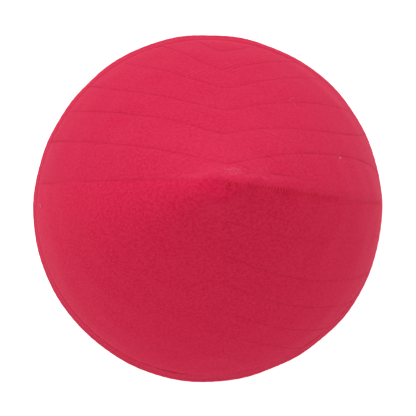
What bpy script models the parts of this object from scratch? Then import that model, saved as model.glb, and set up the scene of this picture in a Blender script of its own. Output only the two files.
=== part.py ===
# Tall quilted felt cap: two half panels sewn together along a left and a right seam that meet at the tip,
# quilted in rows parallel to those seams, with a doubled hem that the cap rests on.
# Metres, +Z up, origin on the floor at the middle of the rim. +Y is the back panel's side.
import math

import bmesh
import bpy
import numpy as np

# Overall sizes
RIM_RADIUS = 0.095  # outside of the hem where it meets the floor
CAP_HEIGHT = 0.170  # floor to tip
TIP_ROUNDING = 0.0022  # softens the point
SHOULDER_SHARE = 0.10  # part of the height that falls in the steep wall above the hem
SHOULDER_POWER = 8  # how late that wall starts

# Cloth
PANEL_WALL = 0.0026  # felt, wadding and backing together
HEM_WALL = 0.0036  # the same cloth turned in and sewn down
HEM_HEIGHT = 0.016
HEM_FOLD = 0.0011  # rounding of the hem's folded lower edge
SEWN_GAP = 0.0003  # clearance between two sewn edges
HEM_TUCK = 0.0007  # how far both edges draw in along the hem's stitching
TUCK_BAND = 0.0024  # height over which they do

# Section across the cap: wider along the ridge than across it at the tip, round at the rim
TIP_DEPTH_RATIO = 0.62  # depth over width at the tip

# The two folds of the ridge: the right one runs along its seam, the left one is softer and below its seam
RIDGE_AZIMUTH = {"right": math.radians(0.8), "left": math.radians(191)}
RIDGE_CREASE = {"right": 0.26, "left": 0.10}  # how far each stands out at the tip, as a share of the radius
RIDGE_SPREAD = {"right": 0.30, "left": 0.50}  # radians over which it dies away to either side
RIDGE_SOFTNESS = {"right": 0.05, "left": 0.22}  # radians over which it is rounded

# Fullness of the tip, which is blunter and fuller on one side
TIP_FULLNESS = 0.0032
FULLEST_SLANT = 0.0050  # distance from the tip at which it stands out most
FULL_AZIMUTH = math.radians(232)

# Soft shapes of a worn cap
TIP_LEAN = 0.0026  # the tip nods towards the back
LEAN_POWER = 5  # how close to the tip the nod starts
RIM_WAVE = 0.0005
RIM_WAVES = 5
WAVE_START = math.radians(25)
WAVE_POWER = 2  # how the waves fade up the wall
FLARE = 0.0012  # the hem kicks out a little on one side
FLARE_AZIMUTH = math.radians(222)
FLARE_SPREAD = math.radians(38)
FLARE_POWER = 20

# Quilting
ROW_PITCH = 0.0176  # from one line of stitching to the next
ROW_PUFF = 0.0007  # rise of the cloth between two lines
PUFF_SQUARENESS = 0.45  # how full the rise is towards its edges
CORNER_ROUNDING = 0.005  # rounding of each row's corner on the middle of the panel
LAP_WIDTH = 0.0040  # overlap of the back panel along the right seam
LAP_RISE = 0.0006
LAP_STEP = 0.0007  # width over which the overlap's edge falls to the panel
PRESSED_EDGE = 0.012  # how far up the panels the hem's stitching presses all this flat

# Where the two seams lie about the tip
SEAM_AZIMUTH = {"right": math.radians(0.8), "left": math.radians(171.3)}

# Mesh fineness
COLUMNS = 24  # steps along each half of a row
COLUMN_POWER = 1.3  # makes the steps finer towards the tip
ROW_STATIONS = (0.0, 0.12, 0.5, 0.88)  # steps across a row, as shares of the pitch
SHORTEST_ROW = 0.05  # a last row narrower than this share of the pitch joins the one before
HEM_STEPS = 80
HEM_STATIONS = (1.0, 0.8, 0.55, 0.3)  # steps down the hem's outside, as shares of its straight height
FOLD_STEPS = 4
SLANT_SAMPLES = 400
SAMPLE_POWER = 0.9
SAME_PLACE = 1e-6
SHARP_ANGLE = math.radians(50)

# Which way a hand's azimuth turns, and which way a side's
HAND_TURN = {"left": -1, "right": 1}
SIDE_TURN = {"back": 1, "front": -1}

# Drift of each seam towards the back, as shares of the rim radius, down the slant from tip to rim
SEAM_DRIFT = (
    ("share of slant", "left", "right"),
    (0.00, 0.000, 0.000),
    (0.25, 0.006, -0.008),
    (0.50, -0.008, -0.014),
    (0.75, -0.024, -0.006),
    (1.00, -0.030, 0.004),
)

# Wander of the lines of stitching away from the seam, from their even places, as shares of the pitch,
# at the middle of the panel, half way to its lower edge and at that edge
ROW_WANDER = {
    "back": (
        ("row", "middle", "left half way", "left edge", "right half way", "right edge"),
        (0, 0.00, 0.00, 0.00, 0.00, 0.00),
        (1, -0.39, 0.01, 0.20, 0.00, -0.03),
        (2, -0.08, 0.08, 0.32, -0.23, 0.11),
        (3, -0.04, -0.02, 0.30, -0.18, -0.18),
        (4, 0.02, 0.15, 0.40, 0.05, 0.07),
        (5, 0.00, 0.17, 0.52, 0.02, 0.00),
        (6, 0.00, 0.27, 0.47, 0.00, 0.02),
        (7, 0.00, 0.15, 0.20, 0.00, 0.02),
    ),
    "front": (
        ("row", "middle", "left half way", "left edge", "right half way", "right edge"),
        (0, 0.00, 0.00, 0.00, 0.00, 0.00),
        (1, -0.20, -0.08, -0.05, -0.07, -0.11),
        (2, -0.06, 0.02, 0.05, 0.07, 0.06),
        (3, -0.10, 0.00, 0.03, 0.09, 0.06),
        (4, -0.08, -0.04, 0.04, 0.07, 0.09),
        (5, -0.03, -0.06, -0.02, -0.09, 0.00),
        (6, -0.05, -0.03, 0.02, -0.09, -0.05),
        (7, 0.00, 0.00, 0.00, 0.00, 0.00),
    ),
}


def table_curve(table, column, at):
    """Smooth curve through the named column of a table whose first column is the station."""
    rows = np.array(table[1:], dtype=float)
    stations, values = rows[:, 0], rows[:, table[0].index(column)]
    slopes = np.gradient(values, stations)
    at = np.clip(at, stations[0], stations[-1])
    i = np.clip(np.searchsorted(stations, at) - 1, 0, len(stations) - 2)
    step = stations[i + 1] - stations[i]
    f = (at - stations[i]) / step
    leaving = values[i] * (1 + 2 * f) * (1 - f) ** 2 + slopes[i] * step * f * (1 - f) ** 2
    arriving = values[i + 1] * f**2 * (3 - 2 * f) - slopes[i + 1] * step * f**2 * (1 - f)
    return leaving + arriving


def softened(share, soft):
    """A share of 0 to 1 whose start is rounded off."""
    return (np.sqrt(share**2 + soft**2) - soft) / (math.sqrt(1 + soft**2) - soft)


def height_of_share(share):
    """Height of the wall where its mean radius is this share of the rim's."""
    cone = softened(share, TIP_ROUNDING / RIM_RADIUS)
    return CAP_HEIGHT * (1 - (1 - SHOULDER_SHARE) * cone - SHOULDER_SHARE * share**SHOULDER_POWER)


# Distance down the wall from the tip, called its slant, against radius and height
SHARES = np.linspace(0, 1, SLANT_SAMPLES) ** SAMPLE_POWER
RADII = SHARES * RIM_RADIUS
HEIGHTS = height_of_share(SHARES)
SLANTS = np.concatenate([[0.0], np.cumsum(np.hypot(np.diff(RADII), np.diff(HEIGHTS)))])
FULL_SLANT = float(SLANTS[-1])


def radius_at(slant):
    return np.interp(slant, SLANTS, RADII)


def height_at(slant):
    return np.interp(slant, SLANTS, HEIGHTS)


def slant_at(height):
    return float(np.interp(-height, -HEIGHTS, SLANTS))


def steepness_at(slant):
    """Sine of the wall's angle to the floor."""
    reach = FULL_SLANT / SLANT_SAMPLES
    above = np.clip(slant - reach, 0, FULL_SLANT)
    below = np.clip(slant + reach, 0, FULL_SLANT)
    return np.clip((height_at(above) - height_at(below)) / (below - above), 0.5, 1.0)


# Lower edge of the panels, and the slant at which their inside comes to its own point
PANEL_SLANT = slant_at(HEM_HEIGHT + SEWN_GAP)
INNER_TIP = float(np.interp(PANEL_WALL + SEWN_GAP, RADII * steepness_at(SLANTS), SLANTS))


def inner_slant(slant):
    """Slant on the inside that lies behind a slant on the outside."""
    return INNER_TIP + slant * (PANEL_SLANT - INNER_TIP) / PANEL_SLANT


def seam_azimuth(hand, slant):
    """Direction of a seam about the tip at this slant."""
    drift = table_curve(SEAM_DRIFT, hand, slant / FULL_SLANT) * RIM_RADIUS
    return SEAM_AZIMUTH[hand] + HAND_TURN[hand] * drift / np.maximum(radius_at(slant), TIP_ROUNDING)


def half_angle(side, slant):
    """Angle from either seam to the middle of a panel."""
    back = (seam_azimuth("left", slant) - seam_azimuth("right", slant)) / 2
    return back if side == "back" else math.pi - back


def panel_azimuth(side, hand, slant, from_seam):
    """Azimuth of a place on a panel, from its angle to the nearer seam."""
    whole_turn = 2 * math.pi if (side, hand) == ("front", "left") else 0
    return seam_azimuth(hand, slant) - whole_turn + SIDE_TURN[side] * HAND_TURN[hand] * from_seam


def angle_between(one, other):
    return np.abs((one - other + math.pi) % (2 * math.pi) - math.pi)


def section_factor(azimuth, slant):
    """Radius over mean radius: a flattened, creased section at the tip that turns round at the rim."""
    towards_tip = 1 - radius_at(slant) / RIM_RADIUS
    depth = 1 - (1 - TIP_DEPTH_RATIO) * towards_tip
    long_half, short_half = 2 / (1 + depth), 2 * depth / (1 + depth)
    turned = azimuth - (RIDGE_AZIMUTH["left"] + RIDGE_AZIMUTH["right"] - math.pi) / 2
    oval = 1 / np.hypot(np.cos(turned) / long_half, np.sin(turned) / short_half)
    crease = 0.0
    for hand, ridge in RIDGE_AZIMUTH.items():
        beside = np.hypot(angle_between(azimuth, ridge), RIDGE_SOFTNESS[hand])
        crease = crease + RIDGE_CREASE[hand] * np.exp(-beside / RIDGE_SPREAD[hand])
    return oval * (1 + towards_tip * crease)


def rim_shape(azimuth, slant):
    """Waviness and flare of the soft rim, which fade up the wall."""
    down = slant / FULL_SLANT
    wave = RIM_WAVE * down**WAVE_POWER * np.sin(RIM_WAVES * (azimuth - WAVE_START))
    beside = angle_between(azimuth, FLARE_AZIMUTH) / FLARE_SPREAD
    return wave + FLARE * down**FLARE_POWER * np.exp(-(beside**2))


def tip_fullness(azimuth, slant):
    """How far the blunt tip swells out of the cone, square to the wall, at this slant from its point."""
    share = np.maximum(slant, 0) / FULLEST_SLANT
    towards = 0.5 + 0.5 * np.cos(azimuth - FULL_AZIMUTH)
    return TIP_FULLNESS * towards * 2 * share / (1 + share**2)


def outer_radius(azimuth, slant, relief=0.0):
    """Radius of the outside, raised by a relief measured square to the wall."""
    smooth = radius_at(slant) * section_factor(azimuth, slant) + rim_shape(azimuth, slant)
    tuck = HEM_TUCK * np.exp(-(((height_at(slant) - HEM_HEIGHT) / TUCK_BAND) ** 2))
    return smooth + (relief + tip_fullness(azimuth, slant)) / steepness_at(slant) - tuck


def inner_radius(azimuth, slant, wall):
    """Radius of the inside, one wall behind the smooth outside."""
    mean = radius_at(slant) - wall / steepness_at(slant)
    swell = tip_fullness(azimuth, slant - INNER_TIP) / steepness_at(slant)
    return mean * section_factor(azimuth, slant) + rim_shape(azimuth, slant) + swell


def around(radius, azimuth, height):
    """Point at this radius and azimuth about the cap's middle line, which nods back at the tip."""
    lean = TIP_LEAN * (height / CAP_HEIGHT) ** LEAN_POWER
    return np.stack([radius * np.cos(azimuth), radius * np.sin(azimuth) + lean, height], axis=-1)


def middle_reach(side, rounding):
    """Distance from the seam along the panel's middle line, for each sampled slant."""
    slants = np.maximum(SLANTS, SAME_PLACE)
    angle = np.maximum(half_angle(side, slants) * radius_at(slants) - rounding, 0) / slants
    return slants, slants * np.sin(angle)


def row_wander(side, place, row):
    """How far a row's stitching lies from its even place, as a length."""
    return table_curve(ROW_WANDER[side], place, row) * ROW_PITCH


def widest_row(side):
    """Row that would just touch the lower edge in the middle of the panel."""
    slants, reaches = middle_reach(side, CORNER_ROUNDING)
    rows = np.linspace(0, FULL_SLANT / ROW_PITCH, SLANT_SAMPLES)
    away = rows * ROW_PITCH + row_wander(side, "middle", rows)
    return float(np.interp(np.interp(PANEL_SLANT, slants, reaches), away, rows))


def row_track(side, hand, row, last_row):
    """Slants and angles to the seam along half a row, from the panel's middle to its lower edge."""
    if row == last_row:  # shrunk to the place where the middle meets the lower edge
        slant = np.full(COLUMNS + 1, PANEL_SLANT)
        return slant, half_angle(side, slant)

    even = max(row * ROW_PITCH, SEWN_GAP / 2)
    keep = min(last_row - row, 1.0)  # the last row of all has no room to wander
    at_middle = row_wander(side, "middle", row)
    at_half_way = at_middle + keep * (row_wander(side, hand + " half way", row) - at_middle)
    at_edge = at_middle + keep * (row_wander(side, hand + " edge", row) - at_middle)

    # A row runs straight on the flattened cloth, from a rounded corner on the middle line
    rounding = CORNER_ROUNDING * min(row, 1.0)
    slants, reach = middle_reach(side, rounding)
    first = min(float(np.interp(even + at_middle, reach, slants)), PANEL_SLANT)
    start = math.sqrt(max(first**2 - (even + at_middle) ** 2, 0))
    end = max(math.sqrt(max(PANEL_SLANT**2 - (even + at_edge) ** 2, 0)), start)
    even_steps = np.linspace(0, 1, COLUMNS + 1) ** COLUMN_POWER
    f = softened(even_steps, rounding / 2 / max(end - start, rounding, SEWN_GAP))
    along = start + (end - start) * f
    away = even + at_middle * (1 - f) * (1 - 2 * f) + at_half_way * 4 * f * (1 - f) + at_edge * f * (2 * f - 1)

    slant = np.minimum(np.hypot(along, away), PANEL_SLANT)
    slant[0], slant[-1] = first, PANEL_SLANT
    to_middle = half_angle(side, slant) * radius_at(slant) - slant * np.arctan2(away, along)
    past_corner = np.sqrt(np.maximum(to_middle**2 - rounding**2, 0))
    past_corner[0] = 0.0
    return slant, half_angle(side, slant) - past_corner / radius_at(slant)


def row_relief(side, hand, row, slant):
    """Rise of the cloth between lines of stitching, and of the overlap along the right seam."""
    away_from_tip = 1 - np.exp(-((slant / ROW_PITCH) ** 2))
    away_from_hem = 1 - np.exp(-(((PANEL_SLANT - slant) / PRESSED_EDGE) ** 2))
    rise = ROW_PUFF * math.sin(math.pi * (row % 1)) ** PUFF_SQUARENESS
    if (side, hand) == ("back", "right"):
        over = (LAP_WIDTH + LAP_STEP - row * ROW_PITCH) / LAP_STEP
        rise = max(rise, LAP_RISE * min(max(over, 0), 1))
    return rise * away_from_tip * away_from_hem


def panel_rows(side):
    """Rows across a panel, counted in pitches from the seam, and which of them carry the inside."""
    last = widest_row(side)
    rows = {number + station for number in range(math.ceil(last)) for station in ROW_STATIONS}
    if side == "back":
        rows |= {LAP_WIDTH / ROW_PITCH, (LAP_WIDTH + LAP_STEP) / ROW_PITCH}
    rows = sorted(row for row in rows if row < last - SHORTEST_ROW) + [last]
    inside = [i for i, row in enumerate(rows) if row == int(row) or row == last]
    return rows, inside


def row_points(side, row, last_row):
    """Outside and inside points of one row, from the left edge over the middle to the right edge."""
    outside, inside = [], []
    for hand in HAND_TURN:
        slant, angle = row_track(side, hand, row, last_row)
        azimuth = panel_azimuth(side, hand, slant, angle)
        radius = outer_radius(azimuth, slant, row_relief(side, hand, row, slant))
        outside.append(around(radius, azimuth, height_at(slant)))
        behind = inner_slant(slant)
        inside.append(around(inner_radius(azimuth, behind, PANEL_WALL), azimuth, height_at(behind)))
    return [np.concatenate([left[::-1], right[1:]]) for left, right in (outside, inside)]


def add_vertices(mesh, points):
    """One vertex for each point, and the same one again where a row has shrunk to a single place."""
    vertices = []
    for point in points:
        if vertices and np.allclose(point, vertices[-1].co, atol=SAME_PLACE):
            vertices.append(vertices[-1])
        else:
            vertices.append(mesh.verts.new(point))
    return vertices


def add_face(mesh, corners):
    """A face through these corners, leaving out the repeated ones."""
    kept = [vertex for i, vertex in enumerate(corners) if vertex is not corners[i - 1]]
    if len(kept) > 2:
        mesh.faces.new(kept)


def add_strip(mesh, one, other):
    for i in range(len(one) - 1):
        add_face(mesh, [one[i], one[i + 1], other[i + 1], other[i]])


def felt(name, colour, roughness):
    material = bpy.data.materials.new(name)
    material.use_nodes = True
    shader = material.node_tree.nodes["Principled BSDF"]
    shader.inputs["Base Color"].default_value = (*colour, 1)
    shader.inputs["Roughness"].default_value = roughness
    shader.inputs["Metallic"].default_value = 0.0
    return material


def add_object(name, shape, material):
    """Finishes one piece of the cap: faces outwards, smooth, in its own felt."""
    bmesh.ops.recalc_face_normals(shape, faces=shape.faces)
    mesh = bpy.data.meshes.new(name)
    shape.to_mesh(mesh)
    shape.free()
    mesh.materials.append(material)
    mesh.shade_smooth()
    mesh.set_sharp_from_angle(angle=SHARP_ANGLE)
    bpy.context.scene.collection.objects.link(bpy.data.objects.new(name, mesh))


def half_panel(name, side, material):
    """One quilted half: an outside of puffed rows and a plain inside, joined along seam and lower edge."""
    rows, inside_rows = panel_rows(side)
    shape = bmesh.new()
    outer, inner = [], {}
    for i, row in enumerate(rows):
        outside, inside = row_points(side, row, rows[-1])
        outer.append(add_vertices(shape, outside))
        if i in inside_rows:
            inner[i] = add_vertices(shape, inside)
    for one, other in zip(outer, outer[1:]):
        add_strip(shape, one, other)
    for i, j in zip(inside_rows, inside_rows[1:]):
        add_strip(shape, inner[j], inner[i])
        for end in (0, -1):
            add_face(shape, [outer[k][end] for k in range(i, j + 1)] + [inner[j][end], inner[i][end]])
    add_strip(shape, inner[0], outer[0])
    add_object(name, shape, material)


def hem_section(azimuth):
    """Points once around the hem's cross-section, from its outer top edge."""
    fold = min(HEM_FOLD, HEM_WALL / 2)
    straight = [fold + station * (HEM_HEIGHT - fold) for station in HEM_STATIONS]
    points = [(outer_radius(azimuth, slant_at(height)), height) for height in straight]
    foot = outer_radius(azimuth, slant_at(fold))
    for turn in np.linspace(0, math.pi / 2, FOLD_STEPS):
        points.append((foot - fold * (1 - math.cos(turn)), fold * (1 - math.sin(turn))))
    inner_foot = inner_radius(azimuth, FULL_SLANT, HEM_WALL)
    points += [(inner_foot + fold / 2, 0), (inner_foot, fold / 2)]
    points.append((inner_radius(azimuth, slant_at(HEM_HEIGHT), HEM_WALL), HEM_HEIGHT))
    return [around(radius, azimuth, height) for radius, height in points]


def hem_band(name, material):
    """The turned hem, a ring whose flat underside carries the cap."""
    shape = bmesh.new()
    azimuths = np.linspace(0, 2 * math.pi, HEM_STEPS, endpoint=False)
    sections = [add_vertices(shape, hem_section(azimuth)) for azimuth in azimuths]
    for one, other in zip(sections, sections[1:] + sections[:1]):
        add_strip(shape, one + one[:1], other + other[:1])
    add_object(name, shape, material)


def main():
    for old in list(bpy.data.objects):
        bpy.data.objects.remove(old, do_unlink=True)
    half_panel("back_panel", "back", felt("back_felt", (0.60, 0.020, 0.075), 0.92))
    half_panel("front_panel", "front", felt("front_felt", (0.57, 0.018, 0.068), 0.92))
    hem_band("hem_band", felt("hem_felt", (0.52, 0.015, 0.058), 0.94))


main()
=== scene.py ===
import math
import bpy
import numpy as np
from mathutils import Matrix, Vector


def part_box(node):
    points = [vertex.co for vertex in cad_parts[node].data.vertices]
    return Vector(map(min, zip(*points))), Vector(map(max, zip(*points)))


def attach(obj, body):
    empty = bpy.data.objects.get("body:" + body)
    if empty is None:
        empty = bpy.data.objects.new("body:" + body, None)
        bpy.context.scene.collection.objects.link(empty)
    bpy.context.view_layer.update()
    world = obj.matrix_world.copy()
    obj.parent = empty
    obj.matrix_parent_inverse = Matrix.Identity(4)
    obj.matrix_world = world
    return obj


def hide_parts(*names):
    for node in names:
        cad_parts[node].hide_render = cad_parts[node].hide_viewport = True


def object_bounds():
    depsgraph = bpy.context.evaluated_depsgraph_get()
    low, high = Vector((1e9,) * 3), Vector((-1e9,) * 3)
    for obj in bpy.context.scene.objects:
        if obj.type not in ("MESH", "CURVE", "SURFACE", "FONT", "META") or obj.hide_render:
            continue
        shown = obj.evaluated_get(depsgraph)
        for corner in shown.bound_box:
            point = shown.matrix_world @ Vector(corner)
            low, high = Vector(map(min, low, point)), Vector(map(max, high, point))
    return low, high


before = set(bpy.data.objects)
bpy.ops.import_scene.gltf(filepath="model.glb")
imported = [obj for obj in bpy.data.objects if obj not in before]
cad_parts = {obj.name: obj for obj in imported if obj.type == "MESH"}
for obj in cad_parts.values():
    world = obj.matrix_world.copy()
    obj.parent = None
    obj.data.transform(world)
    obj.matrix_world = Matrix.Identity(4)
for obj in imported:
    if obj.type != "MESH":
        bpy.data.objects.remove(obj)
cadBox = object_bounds()
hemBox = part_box("hem_band")

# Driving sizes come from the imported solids, and the rest shapes the cap between them; metres and radians
cap = {
    "rimRadius": round((hemBox[1].x - hemBox[0].x) / 2, 3),
    "height": round(cadBox[1].z, 3),
    "hemHeight": round(hemBox[1].z, 4),
    "tipRounding": 0.0034,
    "shoulderShare": 0.10,
    "shoulderPower": 8,
    "panelWall": 0.0026,
    "hemWall": 0.0036,
    "hemFold": 0.0011,
    "hemTuck": 0.00045,  # both edges draw in along the hem's stitching
    "tuckBand": 0.0024,
    "slackShare": 0.90,  # the tuck over the hem is slack along the front
    "slackAzimuth": math.radians(291),
    "slackSpread": math.radians(55),
    "tipDepthRatio": 0.62,
    "ridgeAzimuth": {"right": math.radians(0.8), "left": math.radians(191)},
    "ridgeCrease": {"right": 0.26, "left": 0.10},
    "ridgeSpread": {"right": 0.30, "left": 0.50},
    "ridgeSoftness": {"right": 0.05, "left": 0.22},
    "tipFullness": 0.0032,
    "fullestSlant": 0.0050,
    "fullAzimuth": math.radians(232),
    "tipLean": 0.0026,  # the tip nods towards the back
    "leanPower": 5,
    "rimWave": 0.0003,
    "rimWaves": 5,
    "waveStart": math.radians(25),
    "wavePower": 2,
    "flare": 0.0012,
    "flareAzimuth": math.radians(222),
    "flareSpread": math.radians(38),
    "flarePower": 20,
    "sewnGap": 0.000004,  # the solids keep 0.3 mm, the sewn cloth closes up
    "seamAzimuth": {"right": math.radians(0.8), "left": math.radians(171.3)},
    "slantSamples": 400,
    "samplePower": 0.9,  # the samples lie a little closer at the rim
    "leastSteepness": 0.5,
}

# Drift of the seams towards the back, as shares of the rim radius, at these shares of the way down
seamDrift = {
    "at": (0.00, 0.25, 0.50, 0.75, 1.00),
    "left": (0.000, 0.006, -0.008, -0.024, -0.030),
    "right": (0.000, -0.008, -0.014, -0.006, 0.004),
}

# Wander of the stitched rows 0 to 7 from their even places, as shares of the row pitch
rowWander = {
    "back": {
        "middle": (0.00, -0.48, -0.12, -0.09, -0.03, -0.10, -0.06, 0.00),
        "left half way": (0.00, -0.03, 0.01, -0.09, 0.10, 0.22, 0.22, 0.15),
        "left edge": (0.00, 0.30, 0.32, 0.29, 0.33, 0.49, 0.42, 0.20),
        "right half way": (0.00, 0.01, -0.30, -0.25, -0.06, -0.15, -0.09, 0.00),
        "right edge": (0.00, -0.20, 0.13, -0.24, 0.02, -0.14, -0.07, 0.02),
    },
    "front": {
        "middle": (0.00, -0.20, -0.09, -0.15, -0.13, -0.09, -0.10, 0.00),
        "left half way": (0.00, -0.08, 0.02, 0.00, -0.04, -0.06, -0.03, 0.00),
        "left edge": (0.00, -0.05, 0.05, 0.03, 0.04, -0.02, 0.02, 0.00),
        "right half way": (0.00, -0.07, 0.07, 0.04, -0.01, -0.15, -0.14, 0.00),
        "right edge": (0.00, -0.11, 0.07, 0.01, 0.01, -0.05, -0.10, 0.00),
    },
}

# Quilting: rows of stitching and what they do to the cloth
quilt = {
    "pitch": 0.0176,
    "corner": 0.005,  # rounding of the corner that a row turns in the middle of its panel
    "lastRoom": 0.1,  # the last stitched row keeps this share of a row above the hem
    "lineSteps": 700,
    "puff": 0.00015,  # rise of the cloth between two rows
    "puffReach": 0.0024,
    "groove": 0.00003,
    "grooveReach": 0.0008,
    "hole": 0.00013,  # the needle holes go deeper than the groove
    "holeReach": 0.0006,
    "stitch": 0.0022,
    "pucker": 0.00005,  # small cross folds beside the stitching
    "puckerReach": 0.0035,
    "puckerPitch": 0.0037,
    "pressedEdge": 0.012,  # how far up the hem's stitching presses the panels flat
    "strength": {"back": (1.1, 0.95), "front": (0.04, 0.75)},  # how tight the rows are, left and right
    "middle": {"back": math.radians(86), "front": math.radians(-94)},
    "middleSpread": 0.35,  # angle over which left turns to right
    "tightRange": (0.3, 1.6),
    "grooveShade": 0.05,
    "holeShade": 0.25,
    "rowStrength": {
        "back": (0.20, 0.64, 0.60, 0.58, 0.52, 0.50, 0.62, 0.60),
        "front": (0.20, 0.36, 0.56, 0.58, 0.52, 0.48, 0.34, 0.30),
    },
}

# Right seam, where the back half laps over the front one and is overcast
lap = {
    "width": 0.0040,
    "rise": 0.00010,
    "step": 0.0014,
    "pressedEdge": 0.045,
    "lip": {"left": 0.00010, "right": 0.00004},  # the sewn edges round off into the seam
    "lipReach": 0.0007,
    "overcastPitch": 0.0019,
    # How tight the seam is at these slants
    "tightAt": (0.00, 0.008, 0.014, 0.062, 0.074, 0.102, 0.110, 0.180, 0.190),
    "tightness": (1.0, 1.0, 1.7, 1.7, 0.30, 0.30, 2.2, 2.2, 0.5),
    "pucker": {"back": 0.000025, "front": 0.00005},
    "puckerReach": 0.0045,
}

handTurn = {"left": -1, "right": 1}
sideTurn = {"back": 1, "front": -1}


# The cap's smooth form

def smoothCurve(stations, values, at):
    stations, values = np.asarray(stations, float), np.asarray(values, float)
    slopes = np.gradient(values, stations)
    at = np.clip(at, stations[0], stations[-1])
    i = np.clip(np.searchsorted(stations, at) - 1, 0, len(stations) - 2)
    step = stations[i + 1] - stations[i]
    f = (at - stations[i]) / step
    leaving = values[i] * (1 + 2 * f) * (1 - f) ** 2 + slopes[i] * step * f * (1 - f) ** 2
    arriving = values[i + 1] * f**2 * (3 - 2 * f) - slopes[i + 1] * step * f**2 * (1 - f)
    return leaving + arriving


def softened(share, soft):
    # Runs from 0 to 1 like the share, but starts off level
    return (np.sqrt(share**2 + soft**2) - soft) / (math.sqrt(1 + soft**2) - soft)


def bump(distance, reach):
    return np.exp(-((distance / reach) ** 2))


def toNearest(run, pitch):
    # Distance to the nearest needle hole
    return np.abs(run / pitch - np.round(run / pitch)) * pitch


shares = np.linspace(0, 1, cap["slantSamples"]) ** cap["samplePower"]
radii = shares * cap["rimRadius"]
coneShares = softened(shares, cap["tipRounding"] / cap["rimRadius"])
shoulder = cap["shoulderShare"]
heights = cap["height"] * (1 - (1 - shoulder) * coneShares - shoulder * shares ** cap["shoulderPower"])
slants = np.concatenate([[0.0], np.cumsum(np.hypot(np.diff(radii), np.diff(heights)))])
fullSlant = float(slants[-1])


def radiusAt(slant):
    return np.interp(slant, slants, radii)


def heightAt(slant):
    return np.interp(slant, slants, heights)


def slantAt(height):
    return np.interp(-np.asarray(height), -heights, slants)


def steepnessAt(slant):
    reach = fullSlant / cap["slantSamples"]
    above = np.clip(slant - reach, 0, fullSlant)
    below = np.clip(slant + reach, 0, fullSlant)
    return np.clip((heightAt(above) - heightAt(below)) / (below - above), cap["leastSteepness"], 1.0)


panelSlant = float(slantAt(cap["hemHeight"] + cap["sewnGap"]))
innerTip = float(np.interp(cap["panelWall"] + cap["sewnGap"], radii * steepnessAt(slants), slants))


def seamAzimuth(hand, slant):
    drift = smoothCurve(seamDrift["at"], seamDrift[hand], slant / fullSlant) * cap["rimRadius"]
    turned = drift / np.maximum(radiusAt(slant), cap["tipRounding"])
    return cap["seamAzimuth"][hand] + handTurn[hand] * turned


def halfAngle(side, slant):
    back = (seamAzimuth("left", slant) - seamAzimuth("right", slant)) / 2
    return back if side == "back" else math.pi - back


def panelAzimuth(side, hand, slant, fromSeam):
    wholeTurn = 2 * math.pi if (side, hand) == ("front", "left") else 0
    return seamAzimuth(hand, slant) - wholeTurn + sideTurn[side] * handTurn[hand] * fromSeam


def angleBetween(one, other):
    return np.abs((one - other + math.pi) % (2 * math.pi) - math.pi)


def sectionFactor(azimuth, slant):
    towardsTip = 1 - radiusAt(slant) / cap["rimRadius"]
    depth = 1 - (1 - cap["tipDepthRatio"]) * towardsTip
    longHalf, shortHalf = 2 / (1 + depth), 2 * depth / (1 + depth)
    ridges = cap["ridgeAzimuth"]
    turned = azimuth - (ridges["left"] + ridges["right"] - math.pi) / 2
    oval = 1 / np.hypot(np.cos(turned) / longHalf, np.sin(turned) / shortHalf)
    crease = 0.0
    for hand, ridge in ridges.items():
        beside = np.hypot(angleBetween(azimuth, ridge), cap["ridgeSoftness"][hand])
        crease += cap["ridgeCrease"][hand] * np.exp(-beside / cap["ridgeSpread"][hand])
    return oval * (1 + towardsTip * crease)


def rimShape(azimuth, slant):
    down = slant / fullSlant
    swing = np.sin(cap["rimWaves"] * (azimuth - cap["waveStart"]))
    wave = cap["rimWave"] * down ** cap["wavePower"] * swing
    beside = angleBetween(azimuth, cap["flareAzimuth"])
    return wave + cap["flare"] * down ** cap["flarePower"] * bump(beside, cap["flareSpread"])


def tipFullness(azimuth, slant):
    share = np.maximum(slant, 0) / cap["fullestSlant"]
    towards = 0.5 + 0.5 * np.cos(azimuth - cap["fullAzimuth"])
    return cap["tipFullness"] * towards * 2 * share / (1 + share**2)


def tuckFirmness(azimuth):
    return 1 - cap["slackShare"] * bump(angleBetween(azimuth, cap["slackAzimuth"]), cap["slackSpread"])


def outerRadius(azimuth, slant, relief=0.0):
    smooth = radiusAt(slant) * sectionFactor(azimuth, slant) + rimShape(azimuth, slant)
    band = bump(heightAt(slant) - cap["hemHeight"], cap["tuckBand"])
    tuck = cap["hemTuck"] * tuckFirmness(azimuth) * band
    return smooth + (relief + tipFullness(azimuth, slant)) / steepnessAt(slant) - tuck


def innerRadius(azimuth, slant, wall):
    mean = radiusAt(slant) - wall / steepnessAt(slant)
    swell = tipFullness(azimuth, slant - innerTip) / steepnessAt(slant)
    return mean * sectionFactor(azimuth, slant) + rimShape(azimuth, slant) + swell


def around(radius, azimuth, height):
    radius, azimuth, height = np.broadcast_arrays(radius, azimuth, height)
    lean = cap["tipLean"] * np.maximum(height / cap["height"], 0) ** cap["leanPower"]
    return np.stack([radius * np.cos(azimuth), radius * np.sin(azimuth) + lean, height], axis=-1)


def skin(azimuth, slant, relief=0.0):
    return around(outerRadius(azimuth, slant, relief), azimuth, heightAt(slant))


def skinNormal(azimuth, slant):
    step = 0.0003  # far enough to feel the slope of the cloth
    turn = step / np.maximum(radiusAt(slant), step)
    across = skin(azimuth + turn, slant) - skin(azimuth - turn, slant)
    down = skin(azimuth, np.minimum(slant + step, fullSlant)) - skin(azimuth, np.maximum(slant - step, 0))
    normal = np.cross(down, across)
    return normal / np.linalg.norm(normal, axis=-1, keepdims=True)


def besideSeam(hand, along, away):
    # Azimuth and slant of a place beside a seam; away is counted towards the back
    slant = np.hypot(along, away)
    angle = slant * np.arctan2(away, along) / np.maximum(radiusAt(slant), 1e-6)
    return seamAzimuth(hand, slant) + handTurn[hand] * angle, slant


def besideTip(x, y):
    # Millimetres from the tip, as a place over the floor
    return x / 1000, y / 1000 + cap["tipLean"]


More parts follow.
